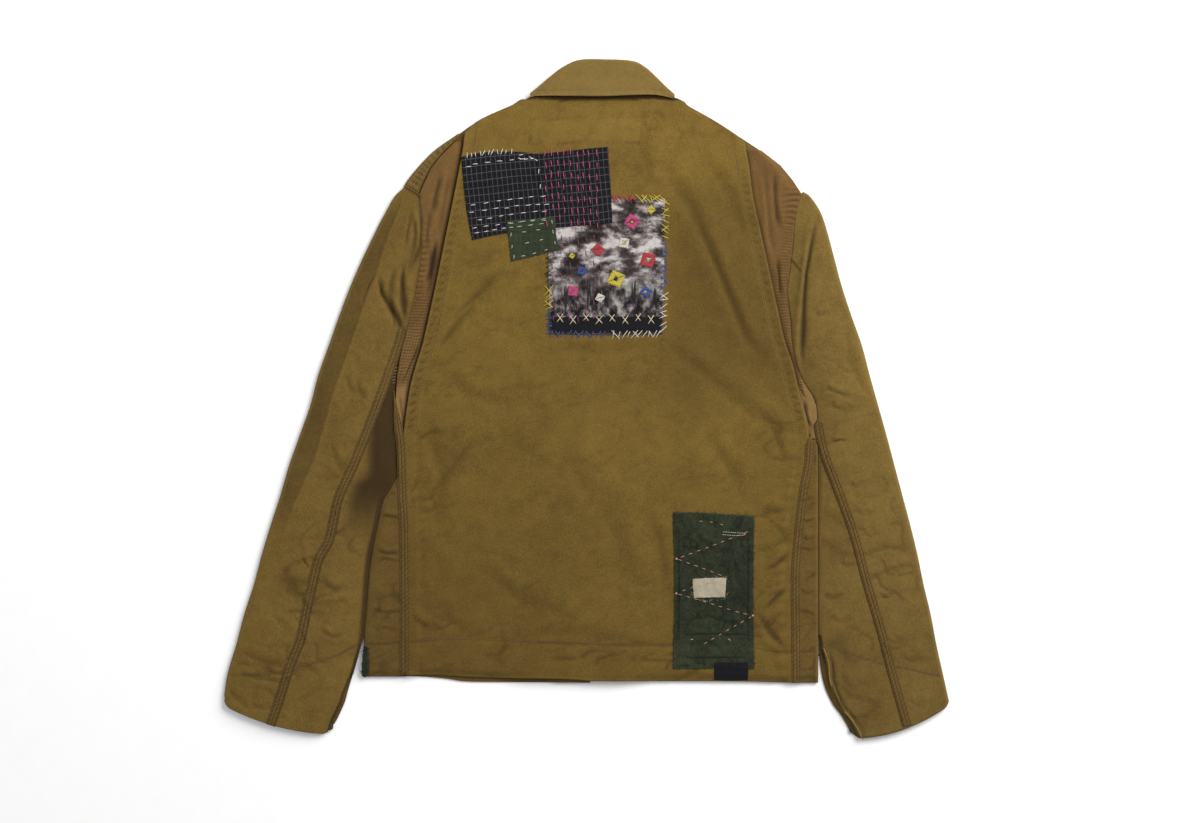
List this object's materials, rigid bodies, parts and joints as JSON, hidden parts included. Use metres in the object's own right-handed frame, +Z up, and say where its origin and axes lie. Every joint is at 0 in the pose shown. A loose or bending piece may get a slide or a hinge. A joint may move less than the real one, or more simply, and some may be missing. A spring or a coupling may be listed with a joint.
{
  "type": "patched work jacket",
  "caption": "Khaki cotton work jacket laid flat on its front, back view, with gathered action-back gussets, a fall collar and hand-stitched cloth patches",
  "frame": {"origin": "middle of the laid-out jacket in plan, on the surface that it rests on", "axes": "+X to the right of the back view across the cuffs, +Y towards the collar, +Z up from the surface"},
  "size_m": [0.8232, 0.7684, 0.0116],
  "materials": {
    "khaki_cloth": "worn cotton twill",
    "gusset_cloth": "soft brown cotton, gathered",
    "sleeve_cloth": "worn cotton twill",
    "collar_cloth": "worn cotton twill",
    "button": "matte",
    "snap": "nickel plated, worn",
    "check_cloth": "dark checked cotton",
    "green_cloth": "faded green cotton",
    "dark_green_cloth": "dark green cotton",
    "picture_cloth": "printed cotton",
    "cream_label": "woven",
    "black_label": "woven satin"
  },
  "bodies": {
    "root": {"back_panel": "khaki_cloth", "side_left": "khaki_cloth", "side_right": "khaki_cloth", "front_left": "khaki_cloth", "front_right": "khaki_cloth", "shoulder_left": "khaki_cloth", "gusset_left": "gusset_cloth", "gusset_right": "gusset_cloth", "sleeve_top_left": "sleeve_cloth", "sleeve_top_right": "sleeve_cloth", "sleeve_under_left": "sleeve_cloth", "sleeve_under_right": "sleeve_cloth", "collar_back": "collar_cloth", "collar_leaf_left": "collar_cloth", "collar_leaf_right": "collar_cloth", "button_1": "button", "button_2": "button", "button_3": "button", "button_4": "button", "button_5": "button", "snap_left": "snap", "snap_right": "snap", "patch_check": "check_cloth", "patch_green_small": "green_cloth", "patch_picture": "picture_cloth", "patch_green_large": "dark_green_cloth", "patch_side": "green_cloth", "label_cream": "cream_label", "label_hem": "black_label"}
  },
  "joints": []
}
